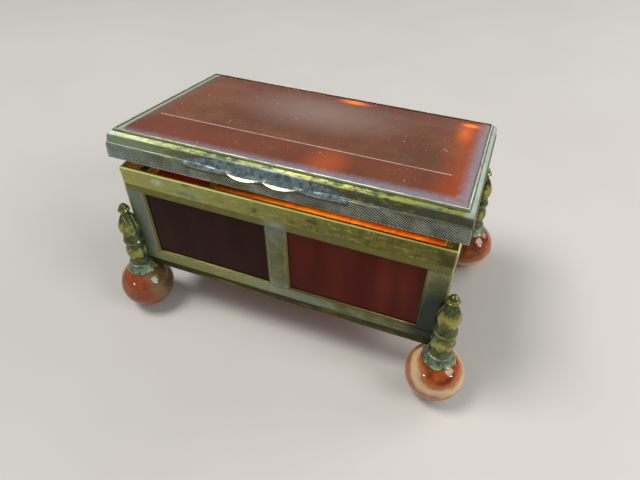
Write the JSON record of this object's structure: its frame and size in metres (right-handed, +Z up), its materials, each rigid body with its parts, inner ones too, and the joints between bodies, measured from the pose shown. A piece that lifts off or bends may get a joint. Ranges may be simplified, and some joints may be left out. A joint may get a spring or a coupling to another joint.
{
  "type": "trinket box",
  "caption": "Small rectangular brass trinket box with carnelian panels, a hinged bevelled stone lid with a scalloped thumb piece, and stone bead feet.",
  "frame": {"origin": "centre of the footprint, on the plane the feet stand on", "axes": "+X to the right along the length, -Y towards the front with the thumb piece, +Z up"},
  "size_m": [0.082, 0.0528, 0.0468],
  "materials": {
    "plain_brass": "worn gilt brass with grey and green stains",
    "engine_turned_brass": "engine-turned brass, tarnished grey-green",
    "bright_brass": "rubbed bright brass edge",
    "thumb_brass": "pitted top with polished scalloped edge",
    "cast_brass": "cast gilt brass, dark in the grooves",
    "verdigris_brass": "brass with verdigris",
    "hinge_brass": "aged brass",
    "pin_steel": "plain",
    "lid_carnelian": "polished, red-brown with orange edges",
    "dark_carnelian": "polished, very dark brown",
    "red_carnelian": "polished, deep red",
    "floor_carnelian": "polished, orange",
    "bead_carnelian": "polished, orange with cream bands"
  },
  "bodies": {
    "case": {"rim_band": "plain_brass", "base_band": "plain_brass", "front_frame": "engine_turned_brass", "back_frame": "engine_turned_brass", "left_frame": "engine_turned_brass", "right_frame": "engine_turned_brass", "front_left_stone": "dark_carnelian", "front_right_stone": "red_carnelian", "back_left_stone": "red_carnelian", "back_right_stone": "dark_carnelian", "left_stone": "red_carnelian", "right_stone": "red_carnelian", "bottom_stone": "floor_carnelian", "front_keeper": "plain_brass", "back_keeper": "plain_brass", "left_keeper": "plain_brass", "right_keeper": "plain_brass", "case_hinge_leaf": "hinge_brass", "hinge_pin": "pin_steel", "front_left_mount": "cast_brass", "front_right_mount": "cast_brass", "back_left_mount": "cast_brass", "back_right_mount": "cast_brass", "front_left_cap": "verdigris_brass", "front_right_cap": "verdigris_brass", "back_left_cap": "verdigris_brass", "back_right_cap": "verdigris_brass", "front_left_ball": "bead_carnelian", "front_right_ball": "bead_carnelian", "back_left_ball": "bead_carnelian", "back_right_ball": "bead_carnelian", "front_left_peg": "bright_brass", "front_right_peg": "bright_brass", "back_left_peg": "bright_brass", "back_right_peg": "bright_brass"},
    "lid": {"lid_frame": "plain_brass", "lid_skirt": "engine_turned_brass", "stone_bezel": "bright_brass", "lid_stone": "lid_carnelian", "thumb_piece": "thumb_brass", "lid_hinge_leaf": "hinge_brass"}
  },
  "joints": [
    {"name": "lid_hinge", "type": "hinge", "parent": "case", "child": "lid", "pos_m": [0, 0.02075, 0.034], "axis": [-1, 0, 0], "range_deg": [-8.7, 91.3]}
  ]
}
